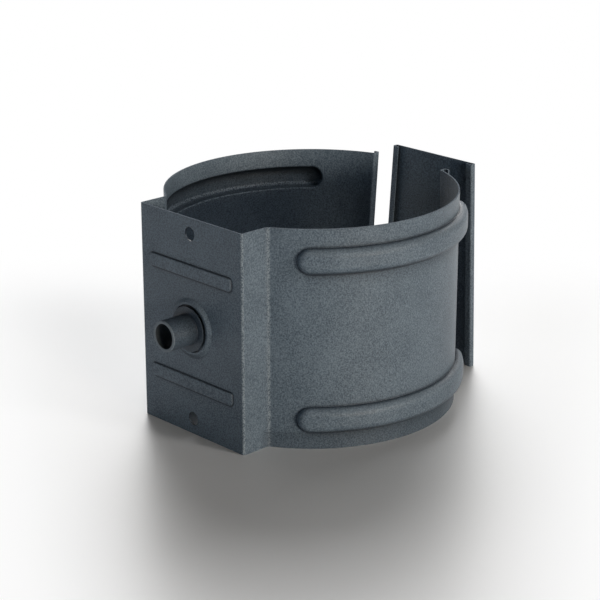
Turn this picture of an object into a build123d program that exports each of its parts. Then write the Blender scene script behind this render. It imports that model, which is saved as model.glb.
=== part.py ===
from build123d import *

import os
from math import acos, asin, atan, cos, degrees, radians, sin, sqrt, tan

# Downpipe bracket for a round pipe: a folded sheet strap, a rivet sleeve set in its wall base,
# and a tapered plate that slides over the two hemmed arm ends and locks the ring.
# The pipe axis is Z, the strap stands on z = 0, and the wall base faces -Y.

# Sheet and ring, in millimetres
pipe_radius = 50.0
sheet = 0.5
strip_height = 75.5
fold_radius = 0.2

# Wall base and its side walls
base_width = 50.2
pipe_standoff = 4.3
arm_bend_radius = 2.5

# Arm ends: the gap between the two hems widens downwards
mouth_top = 32.2
mouth_bottom = 39.7
hem_depth = 3.0
hem_return = 2.2
hem_closing = 12.0
plain_arm_angle = 61.0

# Outward beads, two on each arm; the right arm's beads run further towards the mouth
bead_width = 8.6
bead_height = 3.05
bead_wall = 0.4
bead_edge = 10.55
bead_base_angle = 44.3
bead_mouth_angle_right = 50.0
bead_mouth_angle_left = 44.0
bead_crease = 0.25

# Ribs across the wall base
rib_length = 40.6
rib_width = 4.7
rib_height = 0.7
rib_offset = 19.6
rib_slope = 17.0
rib_corner = 1.2
rib_crest = 0.3

# Raised ring round the sleeve
ring_inner = 8.2
ring_crest = 0.8
ring_foot = 1.2
ring_height = 0.9

# Screw holes near the two ends of the base
screw_radius = 2.3
screw_edge = 5.45

# Rivet sleeve
sleeve_bore = 4.2
sleeve_wall = 1.05
sleeve_reach = 11.85
sleeve_fit = 0.05
sleeve_edge = 0.2
collar_radius = 7.7
collar_reach = 1.8
collar_rim = 0.3
collar_seat = 0.6
collar_fillet = 0.25
head_width = 2.2
head_thickness = 0.9

# Locking plate, shown drawn off to the outside of the mouth
plate_distance = 12.77
plate_lean = 1.61
plate_depth = 2.3
plate_lip = 2.6
plate_clearance = 0.5

# Values that follow from the driving sizes
mid_height = strip_height / 2
skin_radius = pipe_radius + sheet
half_base = base_width / 2 - sheet
base_inner = pipe_radius + pipe_standoff
base_outer = base_inner + sheet
outer_fold = fold_radius + sheet
sleeve_radius = sleeve_bore + sleeve_wall
wall_face = Plane.XZ.offset(base_outer)
inner_face = Plane.XZ.offset(base_inner)
sleeve_axis = Axis((0, 0, mid_height), (0, 1, 0))


def polar(radius, angle):
    """A plan point at this distance from the pipe axis, at this angle from +X."""
    return Vector(radius * cos(radians(angle)), radius * sin(radians(angle)))


def round_corner(path, corner, radius):
    """Rounds the corner of an open path that lies at this point."""
    fillet(path.vertices().sort_by_distance(corner)[0], radius)


def sheet_outline(line):
    """Closed outline of the sheet that lies on the right of a fold line."""
    with BuildSketch() as outline:
        with BuildLine():
            add(line)
            offset(amount=sheet, side=Side.RIGHT)
        make_face()
    return outline.sketch


def half_strap_outline():
    """Plan of the right half: wall base, side wall and arm up to its plain end."""
    corner = Vector(half_base, -base_inner)
    shoulder = Vector(half_base, -sqrt(pipe_radius**2 - half_base**2))
    start_angle = -degrees(asin(-shoulder.Y / pipe_radius))
    with BuildLine() as path:
        Line((0, -base_inner), corner)
        Line(corner, shoulder)
        CenterArc((0, 0), pipe_radius, start_angle, plain_arm_angle - start_angle)
        round_corner(path, corner, fold_radius)
        round_corner(path, shoulder, arm_bend_radius + sheet)
    return sheet_outline(path.line)


def arm_end_outline(mouth):
    """Plan of the arm's end: the last of the curve, then the hem folded out and back."""
    tip_angle = degrees(acos(mouth / 2 / pipe_radius))
    fold_start = polar(pipe_radius, tip_angle)
    fold_end = fold_start + Vector(0, hem_depth)
    with BuildLine() as path:
        CenterArc((0, 0), pipe_radius, plain_arm_angle, tip_angle - plain_arm_angle)
        Line(fold_start, fold_end)
        Line(fold_end, fold_end + polar(hem_return, -hem_closing))
        round_corner(path, fold_start, outer_fold)
        round_corner(path, fold_end, outer_fold)
    return sheet_outline(path.line)


def plate_outline(mouth, back):
    """Plan of the locking plate: a flat back with both edges folded towards the ring."""
    half_width = mouth / 2 + hem_return + plate_clearance + sheet
    front = back - plate_depth
    lip_end = half_width - plate_lip
    corners = [(-half_width, front), (-half_width, back), (half_width, back), (half_width, front)]
    with BuildLine() as path:
        Polyline((-lip_end, front), *corners, (lip_end, front))
        for corner in corners:
            round_corner(path, corner, outer_fold)
    return sheet_outline(path.line)


def cut_plane(angle, height):
    """Upright plane through the pipe axis at this angle: X runs outward, Y upward."""
    outward = polar(1, angle)
    return Plane((0, 0, height), x_dir=outward, z_dir=(outward.Y, -outward.X, 0))


def bead_form(height, mouth_angle, inset):
    """Rounded box bar bent about the pipe axis, with round ends: the form a bead is pressed over."""
    depth = 2 * (bead_height + sheet - inset)
    width = bead_width - 2 * inset
    corner = bead_height - bead_wall - inset
    with BuildPart() as form:
        with BuildSketch(cut_plane(-bead_base_angle, height)):
            with Locations((pipe_radius, 0)):
                RectangleRounded(depth, width, corner)
        revolve(axis=Axis.Z, revolution_arc=bead_base_angle + mouth_angle)
        for angle, side in ((mouth_angle, -1), (-bead_base_angle, 1)):
            with BuildSketch(cut_plane(angle, height)):
                with Locations((pipe_radius, 0)):
                    RectangleRounded(depth, width, corner)
                with Locations((pipe_radius, side * width / 2)):
                    Rectangle(depth, width, mode=Mode.INTERSECT)
            revolve(axis=Axis((0, 0, height), polar(1, angle)), revolution_arc=180)
    return form.part


def bead_bulge(height, mouth_angle):
    """The part of a bead's form that stands outside the pipe's surface."""
    with BuildPart() as bulge:
        add(bead_form(height, mouth_angle, 0))
        Cylinder(pipe_radius, 2 * strip_height, mode=Mode.SUBTRACT)
    return bulge.part


def half_strap(mouth_angle):
    """The right half of the strap, with its beads run to this angle on the mouth side."""
    with BuildPart() as half:
        with BuildSketch():
            add(half_strap_outline())
        extrude(amount=strip_height)
        with BuildSketch():
            add(arm_end_outline(mouth_bottom))
        with BuildSketch(Plane.XY.offset(strip_height)):
            add(arm_end_outline(mouth_top))
        loft(ruled=True)
        for height in (bead_edge, strip_height - bead_edge):
            add(bead_bulge(height, mouth_angle))
            fillet(edges(Select.NEW), bead_crease)
            add(bead_form(height, mouth_angle, sheet), mode=Mode.SUBTRACT)
            fillet(edges(Select.NEW), bead_crease + sheet)
    return half.part


def slope_shift(angle):
    """How far a fold line steps back between the sheet's two faces."""
    return sheet * tan(radians(angle) / 2)


rib_places = [(0, mid_height - rib_offset), (0, mid_height + rib_offset)]
screw_places = [(0, screw_edge), (0, strip_height - screw_edge)]

# Clamp strap: two halves folded alike, then what is pressed and punched into the base
with BuildPart() as strap:
    add(half_strap(bead_mouth_angle_left))
    mirror(about=Plane.YZ, mode=Mode.REPLACE)
    add(half_strap(bead_mouth_angle_right))

    # Ribs, raised outside and hollow behind
    with BuildSketch(wall_face):
        with Locations(*rib_places):
            RectangleRounded(rib_length, rib_width, rib_corner)
    extrude(amount=rib_height, taper=rib_slope)
    fillet(edges().group_by(Axis.Y)[0], rib_crest)
    hollow = 2 * slope_shift(90 - rib_slope)
    with BuildSketch(inner_face):
        with Locations(*rib_places):
            RectangleRounded(rib_length - hollow, rib_width - hollow, rib_corner - hollow / 2)
    extrude(amount=rib_height, taper=rib_slope, mode=Mode.SUBTRACT)

    # Raised ring round the sleeve, its inner side upright and its outer side sloping
    ring_shift = slope_shift(degrees(atan(ring_height / ring_foot)))
    crest = ring_inner + ring_crest
    foot = crest + ring_foot
    with BuildSketch(Plane.XY.offset(mid_height)):
        with BuildLine():
            Polyline(
                (ring_inner, -base_outer),
                (ring_inner, -base_outer - ring_height),
                (crest, -base_outer - ring_height),
                (foot, -base_outer),
                close=True,
            )
        make_face()
    revolve(axis=sleeve_axis)
    with BuildSketch(Plane.XY.offset(mid_height)):
        with BuildLine():
            Polyline(
                (ring_inner + sheet, -base_inner),
                (ring_inner + sheet, -base_inner - ring_height),
                (crest - ring_shift, -base_inner - ring_height),
                (foot - ring_shift, -base_inner),
                close=True,
            )
        make_face()
    revolve(axis=sleeve_axis, mode=Mode.SUBTRACT)

    # Holes for the two screws and the sleeve
    with BuildSketch(wall_face):
        with Locations(*screw_places):
            Circle(screw_radius)
        with Locations((0, mid_height)):
            Circle(sleeve_radius + sleeve_fit)
    extrude(amount=-sheet, mode=Mode.SUBTRACT)

# Rivet sleeve: head inside the base, thin collar and plain tube outside
with BuildPart() as sleeve:
    with BuildSketch(Plane.XY.offset(mid_height)):
        with BuildLine():
            Polyline(
                (sleeve_bore, -base_outer - sleeve_reach),
                (sleeve_radius, -base_outer - sleeve_reach),
                (sleeve_radius, -base_outer - collar_reach),
                (collar_radius, -base_outer - collar_reach),
                (collar_radius, -base_outer - collar_reach + collar_rim),
                (sleeve_radius + collar_seat, -base_outer),
                (sleeve_radius, -base_outer),
                (sleeve_radius, -base_inner),
                (sleeve_radius + head_width, -base_inner),
                (sleeve_radius + head_width, -base_inner + head_thickness),
                (sleeve_bore, -base_inner + head_thickness),
                close=True,
            )
        make_face()
    revolve(axis=sleeve_axis)
    collar_root = (sleeve_radius, -base_outer - collar_reach, mid_height)
    fillet(edges().sort_by_distance(collar_root)[0], collar_fillet)
    fillet(faces().sort_by(Axis.Y)[0].edges(), sleeve_edge)

# Locking plate: both long edges folded towards the ring, wider and nearer at the bottom
plate_back = pipe_radius + plate_distance
with BuildPart() as plate:
    with BuildSketch():
        add(plate_outline(mouth_bottom, plate_back - plate_lean))
    with BuildSketch(Plane.XY.offset(strip_height)):
        add(plate_outline(mouth_top, plate_back))
    loft(ruled=True)

strap.part.label = "clamp_strap"
sleeve.part.label = "rivet_sleeve"
plate.part.label = "locking_plate"

os.makedirs("parts", exist_ok=True)
export_step(strap.part, "parts/clamp_strap.step")
export_step(sleeve.part, "parts/rivet_sleeve.step")
export_step(plate.part, "parts/locking_plate.step")
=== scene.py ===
# %% [markdown]
# # Downpipe bracket
# A bracket of painted sheet steel holds a round downpipe off a wall. It has a folded strap, a short
# rivet sleeve set in the strap's wall base, and a tapered plate that slides over the two arm ends.
# The solids are already right in shape and size, so this lesson loads them as they are and spends its
# effort on what Blender is good at: paint, light and the camera.

# %% Load the solids
import math

import bpy
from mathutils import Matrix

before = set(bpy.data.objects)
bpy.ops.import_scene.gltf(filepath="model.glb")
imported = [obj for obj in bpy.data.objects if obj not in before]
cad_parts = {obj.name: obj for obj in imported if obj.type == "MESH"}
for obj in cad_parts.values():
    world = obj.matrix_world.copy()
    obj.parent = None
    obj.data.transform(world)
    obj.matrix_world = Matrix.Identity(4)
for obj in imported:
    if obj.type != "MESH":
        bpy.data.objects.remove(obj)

scene = bpy.context.scene
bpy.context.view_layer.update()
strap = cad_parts["clamp_strap"]
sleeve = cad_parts["rivet_sleeve"]
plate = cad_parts["locking_plate"]
print("solids:", sorted(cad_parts))

# %% [markdown]
# ## Camera
# The picture was taken with a long lens, a little above the bracket and towards one corner of its base.
# A camera can be placed by eye, but a long lens is touchy: a small turn moves the object a long way.
# So the place, the two angles and the lens are written down as numbers, and the roll is left at zero.

# %% Place the camera
camera_place = (0.435730, -0.421624, 0.245309)
camera_azimuth = math.radians(46.317)
camera_height_angle = math.radians(19.188)
camera_lens = 110.41
camera_sensor_width = 36.0
camera_data = bpy.data.cameras.new("camera")
camera_data.sensor_width = camera_sensor_width
camera_data.lens = camera_lens
camera = bpy.data.objects.new("camera", camera_data)
camera.location = camera_place
camera.rotation_euler = (math.pi / 2 - camera_height_angle, 0.0, camera_azimuth)
scene.collection.objects.link(camera)
scene.camera = camera
print("lens in millimetres:", camera_data.lens)

# %% [markdown]
# ## Writing shaders as sums
# A material is a net of nodes. Drawn by hand it is a tangle, and written link by link it is long.
# Here a socket is wrapped in a small class that knows plus, minus, times and size without sign, so a
# mask can be written as a formula, and each operator adds the Math node that works it out.

# %% A socket that can be reckoned with
class Value:
    """One output socket of a finish's node net."""

    def __init__(self, finish, node, key=0):
        self.finish = finish
        self.node = node
        self.socket = node.outputs[key]

    def output(self, key):
        """Another output of the same node."""
        return Value(self.finish, self.node, key)

    def _math(self, operation, first, second):
        return self.finish.node("ShaderNodeMath", {"operation": operation}, {0: first, 1: second})

    def __add__(self, other):
        return self._math("ADD", self, other)

    def __sub__(self, other):
        return self._math("SUBTRACT", self, other)

    def __rsub__(self, other):
        return self._math("SUBTRACT", other, self)

    def __mul__(self, other):
        return self._math("MULTIPLY", self, other)

    def __abs__(self):
        return self._math("ABSOLUTE", self, 0.0)

    __radd__ = __add__
    __rmul__ = __mul__


# %% [markdown]
# Every other node comes from one method, which takes the node's kind, its settings and its sockets. The
# helpers after it only save typing: they name the few nodes that the paint uses again and again.

# %% A finish and its node net
class Finish:
    """A material, and the one method that adds a node to it."""

    def __init__(self, name):
        self.material = bpy.data.materials.new(name)
        self.material.use_nodes = True
        self.tree = self.material.node_tree
        self.tree.nodes.clear()

    def node(self, kind, settings=None, sockets=None):
        """Adds a node: first its settings, then a value or a link for each socket named."""
        node = self.tree.nodes.new(kind)
        for name, setting in (settings or {}).items():
            setattr(node, name, setting)
        for key, value in (sockets or {}).items():
            if isinstance(value, Value):
                self.tree.links.new(value.socket, node.inputs[key])
            else:
                node.inputs[key].default_value = value
        return Value(self, node) if node.outputs else None

    def mix(self, factor, first, second):
        """Blends two colours by a factor."""
        blend = self.node("ShaderNodeMix", {"data_type": "RGBA"}, {0: factor, 6: first, 7: second})
        return blend.output(2)

    def step(self, value, low, high):
        """Rises smoothly from 0 at low to 1 at high."""
        limits = {"Value": value, "From Min": low, "From Max": high}
        return self.node("ShaderNodeMapRange", {"interpolation_type": "SMOOTHSTEP"}, limits)

    def noise(self, place, size, detail, roughness):
        """Soft random values whose lumps are about this size, in metres."""
        sockets = {"Vector": place, "Scale": 1.0 / size, "Detail": detail, "Roughness": roughness}
        return self.node("ShaderNodeTexNoise", None, sockets)

    def vector(self, operation, first, second):
        """Reckons with two vectors."""
        return self.node("ShaderNodeVectorMath", {"operation": operation}, {0: first, 1: second})

    def part(self, vector, axis):
        """One of a vector's three numbers."""
        return self.node("ShaderNodeSeparateXYZ", None, {0: vector}).output(axis)


# %% [markdown]
# ## Graphite paint
# The bracket is coated steel: a dark blue-grey paint with a fine grain that sparkles where light grazes it.
# A flat colour would look like plastic. Here the colour wanders from speck to speck, the roughness with
# it, and a shallow bump gives the grain its relief. The strip's cut rims, known by their height, are dull.
# What else lies on the paint comes in layers: each takes the colour so far and gives it back changed.

# %% Mix the paint
grain_size = 0.00048
grain_detail = 2.0
grain_roughness = 0.6
grain_depth = 0.00012
grain_relief = 0.9
cloud_size = 0.011
cloud_detail = 3.0
cloud_roughness = 0.5
cloud_share = 0.15
speck_range = (0.34, 0.66)
paint_roughness = 0.42
speck_roughness = 0.25
rim_height = 0.0754
rim_edge = 0.00006
rim_roughness = 0.4
paint_ior = 1.6
paint_specular = 0.16


def grained_paint(name, dark, light, *layers):
    """Grained paint between two shades, under layers that change its colour."""
    paint = Finish(name)
    place = paint.node("ShaderNodeTexCoord").output("Object")
    grain = paint.noise(place, grain_size, grain_detail, grain_roughness)
    cloud = paint.noise(place, cloud_size, cloud_detail, cloud_roughness)
    specks = paint.step(grain * (1.0 - cloud_share) + cloud * cloud_share, *speck_range)
    colour = paint.mix(specks, dark, light)
    for layer in layers:
        colour = layer(paint, place, grain, colour)
    cut = paint.step(paint.part(place, "Z"), rim_height, rim_height + rim_edge)
    rough = paint_roughness + (grain - 0.5) * speck_roughness + cut * rim_roughness
    normal = paint.node("ShaderNodeBump", None, {
        "Strength": grain_relief, "Distance": grain_depth, "Height": grain})
    shader = paint.node("ShaderNodeBsdfPrincipled", None, {
        "Base Color": colour, "Roughness": rough, "Normal": normal,
        "IOR": paint_ior, "Specular IOR Level": paint_specular})
    paint.node("ShaderNodeOutputMaterial", None, {"Surface": shader})
    return paint.material


print("grain in millimetres:", grain_size * 1000)

# %% [markdown]
# In the picture a thin dark line runs along the feet of the beads and ribs. Lines could be drawn one by
# one, but the Ambient Occlusion node finds them all: it feels how closed in a point is. With a short reach
# it gives the line, and with a longer one a fainter, wider shade beside it. Both are painted shade.

# %% Paint shade into the creases
feeler_rays = 8
crease_reach = 0.0009
crease_range = (0.62, 0.90)
crease_shade = (0.008, 0.012, 0.021, 1)
wide_shade_reach = 0.0040
wide_shade_range = (0.60, 0.96)
wide_shade_strength = 0.30


def openness(paint, reach, **facing):
    """How open a point is to its own piece within this reach: 1 on a plain face."""
    settings = {"samples": feeler_rays, "only_local": True}
    return paint.node("ShaderNodeAmbientOcclusion", settings, {"Distance": reach, **facing}).output("AO")


def shade_creases(paint, place, grain, colour):
    """Painted shade: thin dark lines where the sheet is pressed out of its plane, and fainter shade beside
    them.
    """
    wide_shade = 1.0 - paint.step(openness(paint, wide_shade_reach), *wide_shade_range)
    colour = paint.mix(wide_shade * wide_shade_strength, colour, crease_shade)
    return paint.mix(paint.step(openness(paint, crease_reach), *crease_range), crease_shade, colour)


print("crease reach in millimetres:", crease_reach * 1000)

# %% [markdown]
# Some marks differ between the inside and the outside of the ring, or between faces that look up and down.
# A face looks outwards when its normal points away from the pipe's axis, and up when its normal's Z is high.
# The same node as before feels what stands over a point when its normal is turned straight up.

# %% Tell inside from outside, and feel for the sky
outward_range = (-0.006, 0.002)


def looks(paint, place):
    """How far a face looks outwards, from 0 to 1, and how far it looks up."""
    outward = paint.vector("MULTIPLY", place, (1, 1, 0))
    normal = paint.node("ShaderNodeNewGeometry").output("Normal")
    facing = paint.vector("DOT_PRODUCT", normal, outward).output("Value")
    return paint.step(facing, *outward_range), paint.part(normal, "Z")


def sky(paint, reach):
    """How open a point is upwards. A plain wall gives about a half, and more when the reach is short."""
    upward = paint.node("ShaderNodeCombineXYZ", None, {"Z": 1.0})
    return openness(paint, reach, Normal=upward)


# %% [markdown]
# Seen from inside the ring, a bead is a gutter, and the picture shows it nearly black under its upper lip;
# that is painted shade. Its floor, which slopes up, shows a pale streak, painted as a highlight. Outside,
# the sheet is painted a little darker below a bead as shade, and the bead's shoulder a little paler as a
# highlight.

# %% Paint shade and highlights on the beads
gutter_reach = 0.008
gutter_range = (0.08, 0.34)
gutter_shade = (0.006, 0.009, 0.013, 1)
open_air_strength = 0.45
highlight_tint = (0.340, 0.410, 0.480, 1)
streak_strength = 0.6
highlight_specks = (0.36, 0.60)
streak_start = (0.20, 0.42)
streak_end = (0.60, 0.82)
shoulder_start = (0.15, 0.50)
shoulder_end = (0.90, 0.99)
shoulder_strength = 0.12


def gutters(paint, place, grain, colour):
    """Deep shade in the gutters inside the ring, and a weaker one under the beads outside it."""
    outside, rise = looks(paint, place)
    gutter = 1.0 - paint.step(sky(paint, gutter_reach), *gutter_range)
    depth = 1.0 - outside * (1.0 - open_air_strength)
    return paint.mix(depth * gutter, colour, gutter_shade)


def painted_highlights(paint, place, grain, colour):
    """A painted highlight streak in each gutter, and the beads' up-facing shoulders painted a little paler.
    """
    outside, rise = looks(paint, place)
    streak = paint.step(rise, *streak_start) - paint.step(rise, *streak_end)
    specks = paint.step(grain, *highlight_specks) * streak_strength
    colour = paint.mix((1.0 - outside) * streak * specks, colour, highlight_tint)
    shoulder = paint.step(rise, *shoulder_start) - paint.step(rise, *shoulder_end)
    return paint.mix(outside * shoulder * shoulder_strength, colour, highlight_tint)


print("gutter reach in millimetres:", gutter_reach * 1000)

# %% [markdown]
# The ribs on the base are low, and their lower edges face away from the light. In the picture a thin dark
# line still marks them, so what lies close under an edge outside the ring gets one, as painted shade.

# %% Paint a shade line under an edge
eaves_reach = 0.0011
eaves_range = (0.28, 0.52)
eaves_strength = 0.75


def eaves(paint, place, grain, colour):
    """A narrow line of painted shade under each edge outside the ring."""
    outside, rise = looks(paint, place)
    under = 1.0 - paint.step(sky(paint, eaves_reach), *eaves_range)
    return paint.mix(outside * under * eaves_strength, colour, crease_shade)


print("eaves reach in millimetres:", eaves_reach * 1000)

# %% [markdown]
# The upright folds get paler specks, a painted glint along each bend. A fold is an upright line,
# so a point's distance from it is reckoned in plan, from its X and Y. The bracket's folds are alike on both
# sides, so X counts without its sign.

# %% Paint glints on the folds
base_fold = (0.0249, -0.0546)
arm_fold = (0.0258, -0.0440)
fold_reach = 0.0007
glint_specks = (0.38, 0.62)
pale_shade = (0.205, 0.245, 0.280, 1)


def fold_glints(paint, place, grain, colour):
    """Paler specks along the upright folds: a painted glint."""
    for fold_across, fold_along in (base_fold, arm_fold):
        across = abs(paint.part(place, "X")) - fold_across
        along = paint.part(place, "Y") - fold_along
        near = 1.0 - paint.step(across * across + along * along, 0.0, fold_reach ** 2)
        colour = paint.mix(near * paint.step(grain, *glint_specks), colour, pale_shade)
    return colour


print("folds worn within millimetres:", fold_reach * 1000)

# %% [markdown]
# In the picture the strip under the lower beads is darker than the arm above it, and the two screw holes
# have thin dark edges. Both are painted in as shade, and found by their place: the strip by its height and
# its distance from the pipe's axis, the holes by their centres, which lie as far above the middle of the
# base as below it.

# %% Paint shade on the lower strip and the hole edges
low_strip_height = 0.0050
low_strip_fade = 0.0018
low_strip_strength = 0.34
arm_radius = 0.0515
arm_fade = 0.0030
middle_height = 0.03775
hole_offset = 0.0323
hole_radius = 0.0023
hole_edge = 0.00016
hole_strength = 0.8


def low_strip_shade(paint, place, grain, colour):
    """Painted shade: a darker strip along the lower rim of the arms."""
    plan = paint.vector("MULTIPLY", place, (1, 1, 0))
    radius = paint.node("ShaderNodeVectorMath", {"operation": "LENGTH"}, {0: plan}).output("Value")
    low = 1.0 - paint.step(paint.part(place, "Z"), low_strip_height, low_strip_height + low_strip_fade)
    on_arm = 1.0 - paint.step(radius, arm_radius, arm_radius + arm_fade)
    return paint.mix(low * on_arm * low_strip_strength, colour, crease_shade)


def hole_edge_shade(paint, place, grain, colour):
    """Painted shade: a thin dark line round each screw hole."""
    across = paint.part(place, "X")
    up = abs(paint.part(place, "Z") - middle_height) - hole_offset
    outer = hole_radius + hole_edge
    edge = 1.0 - paint.step(across * across + up * up, hole_radius ** 2, outer ** 2)
    return paint.mix(edge * hole_strength, colour, crease_shade)


print("hole edges in millimetres:", hole_radius * 1000, "to", (hole_radius + hole_edge) * 1000)

# %% [markdown]
# The sleeve's bore looks black in the picture, and the rim of its outer end paler than the tube; the bore's
# black is painted shade. The bore is found by its distance from the sleeve's axis, which runs along Y at
# half the strip's height, and the rim by how far out it lies.

# %% Paint shade in the bore and pale the sleeve's end
bore_radius = 0.0042
bore_edge = 0.00012
bore_shade = (0.032, 0.039, 0.046, 1)
sleeve_end = -0.06655
sleeve_end_fade = 0.0004
sleeve_end_strength = 0.55


def shaded_bore(paint, place, grain, colour):
    """Painted shade: black inside the sleeve's bore."""
    across = paint.vector("MULTIPLY", place, (1, 0, 1))
    aside = paint.vector("DISTANCE", across, (0, 0, middle_height)).output("Value")
    inside = 1.0 - paint.step(aside, bore_radius, bore_radius + bore_edge)
    return paint.mix(inside, colour, bore_shade)


def pale_sleeve_end(paint, place, grain, colour):
    """Paler paint on the rim of the sleeve's outer end."""
    pale_rim = 1.0 - paint.step(paint.part(place, "Y"), sleeve_end, sleeve_end + sleeve_end_fade)
    return paint.mix(pale_rim * sleeve_end_strength, colour, pale_shade)


print("black within millimetres of the sleeve's axis:", bore_radius * 1000)

# %% [markdown]
# The strap and the plate share one paint. The sleeve, a turned part, looks a shade darker in the picture, so
# it gets a darker copy of that paint, which stands in for shade. The order of the layers counts: what comes
# later lies on top.

# %% Paint the pieces
dark_shade = (0.056, 0.078, 0.104, 1)
light_shade = (0.142, 0.183, 0.226, 1)
# The sleeve's two shades are the paint's own, darkened to paint in shade.
shaded_sleeve_dark = (0.026, 0.037, 0.052, 1)
shaded_sleeve_light = (0.066, 0.088, 0.114, 1)
strap_layers = (fold_glints, low_strip_shade, hole_edge_shade, gutters, painted_highlights, eaves, shade_creases)
sleeve_layers = (pale_sleeve_end, shade_creases, shaded_bore)
finishes = {
    strap: grained_paint("strap_paint_grain", dark_shade, light_shade, *strap_layers),
    sleeve: grained_paint("sleeve_shaded_paint_grain", shaded_sleeve_dark, shaded_sleeve_light, *sleeve_layers),
    plate: grained_paint("plate_paint_grain", dark_shade, light_shade, shade_creases),
}
for piece, material in finishes.items():
    piece.material_slots[0].material = material
    print(piece.name, "wears", material.name)

# %% [markdown]
# ## Floor
# The bracket stands on a white studio floor that keeps a long soft shadow and a faint reflection.
# A plane, far larger than the picture, is added as the floor.

# %% Lay the floor
floor_size = 12.0
bpy.ops.object.select_all(action="DESELECT")
bpy.ops.mesh.primitive_plane_add(size=floor_size, location=(0, 0, 0))
floor = bpy.context.object
floor.name = "floor"
print("floor:", floor_size, "metres square")

# %% [markdown]
# More lamps could whiten the floor, but they would wash out the bracket. So beyond the shadow, on both sides
# of it and behind the bracket, the floor fades to a plain white that only the camera and reflections see.
# Where that is, is reckoned on the floor itself: across the picture, and towards us.

# %% Whiten the floor round the shadow
floor_colour = (0.82, 0.82, 0.82, 1)
floor_roughness = 0.4
floor_ior = 1.45
beyond_range = (0.16, 0.42)
beside_range = (0.066, 0.121)
beside_narrowing = 0.22
beside_strength = 0.85
behind_range = (0.06, 0.16)
to_the_right = (math.cos(camera_azimuth), math.sin(camera_azimuth), 0)
to_the_front = (math.sin(camera_azimuth), -math.cos(camera_azimuth), 0)

white = Finish("white_floor")
floor_place = white.node("ShaderNodeTexCoord").output("Object")
from_middle = white.node("ShaderNodeVectorMath", {"operation": "LENGTH"}, {0: floor_place}).output("Value")
across_view = white.vector("DOT_PRODUCT", floor_place, to_the_right).output("Value")
towards_us = white.vector("DOT_PRODUCT", floor_place, to_the_front).output("Value")
beyond = white.step(from_middle, *beyond_range)
beside = white.step(abs(across_view) + towards_us * beside_narrowing, *beside_range) * beside_strength
behind = white.step(0.0 - towards_us, *behind_range)
print("white beyond metres:", beyond_range, "beside:", beside_range, "behind:", behind_range)

# %% [markdown]
# The fade is the factor of a Mix Shader between the floor's paint and a white glow of strength 1. The Light
# Path node keeps the glow to what the camera and reflections see, so it throws no light on the bracket.

# %% Paint the floor
path = white.node("ShaderNodeLightPath")
seen = path.output("Is Camera Ray") + path.output("Is Glossy Ray")
far_floor = (1.0 - (1.0 - beyond) * (1.0 - beside) * (1.0 - behind)) * seen
floor_shader = white.node("ShaderNodeBsdfPrincipled", None, {
    "Base Color": floor_colour, "Roughness": floor_roughness, "IOR": floor_ior})
glow = white.node("ShaderNodeEmission", None, {"Color": (1, 1, 1, 1), "Strength": 1.0})
floor_mix = white.node("ShaderNodeMixShader", None, {0: far_floor, 1: floor_shader, 2: glow})
white.node("ShaderNodeOutputMaterial", None, {"Surface": floor_mix})
floor.data.materials.append(white.material)
print(floor.name, "wears", white.material.name)

# %% [markdown]
# ## Light
# Broad lamps behind the bracket throw the long soft shadow towards us. Warm lamps low at the right light the
# arm and pass by the base, a cool one low at the left keeps the base readable, and one from higher up at the
# right reaches inside the ring. A low lamp lights an upright wall and hardly touches the floor. All are sun
# lamps with a wide disc, which light every part of the floor alike, as a large soft box far away does.

# %% Hang the lamps
def soft_lamp(name, turn, height_angle, strength, spread, colour):
    """A far lamp, so many degrees round from the camera and above the floor, and so wide in the sky."""
    data = bpy.data.lights.new(name, "SUN")
    data.energy = strength
    data.color = colour
    data.angle = math.radians(spread)
    lamp = bpy.data.objects.new(name, data)
    lamp.rotation_euler = (math.radians(90 - height_angle), 0.0, camera_azimuth + math.radians(turn))
    scene.collection.objects.link(lamp)
    return lamp


plain_white = (1.0, 1.0, 1.0)
warm_white = (1.0, 0.89, 0.75)
cool_white = (0.72, 0.88, 1.0)
lamps = [
    soft_lamp("back_lamp", 180, 36, 1.42, 36, plain_white),
    soft_lamp("low_back_lamp", 180, 24, 0.60, 30, plain_white),
    soft_lamp("right_back_lamp", 150, 26, 0.55, 30, plain_white),
    soft_lamp("left_back_lamp", 225, 36, 0.28, 36, plain_white),
    soft_lamp("right_lamp", 60, 30, 0.50, 12, plain_white),
    soft_lamp("low_front_right_lamp", 35, 5, 1.68, 10, warm_white),
    soft_lamp("low_right_lamp", 60, 5, 0.68, 10, warm_white),
    soft_lamp("low_left_lamp", -30, 5, 0.27, 10, cool_white),
]
print("lamps:", [lamp.name for lamp in lamps])

# %% [markdown]
# The world adds only a trace of light, so that no corner is quite black. The plain Standard view shows a
# colour as it is written.

# %% Set the world and the view
world_strength = 0.01
world = bpy.data.worlds.new("studio")
scene.world = world
world.use_nodes = True
background = world.node_tree.nodes["Background"]
background.inputs["Color"].default_value = (1, 1, 1, 1)
background.inputs["Strength"].default_value = world_strength
scene.view_settings.view_transform = "Standard"
print("world strength:", world_strength)
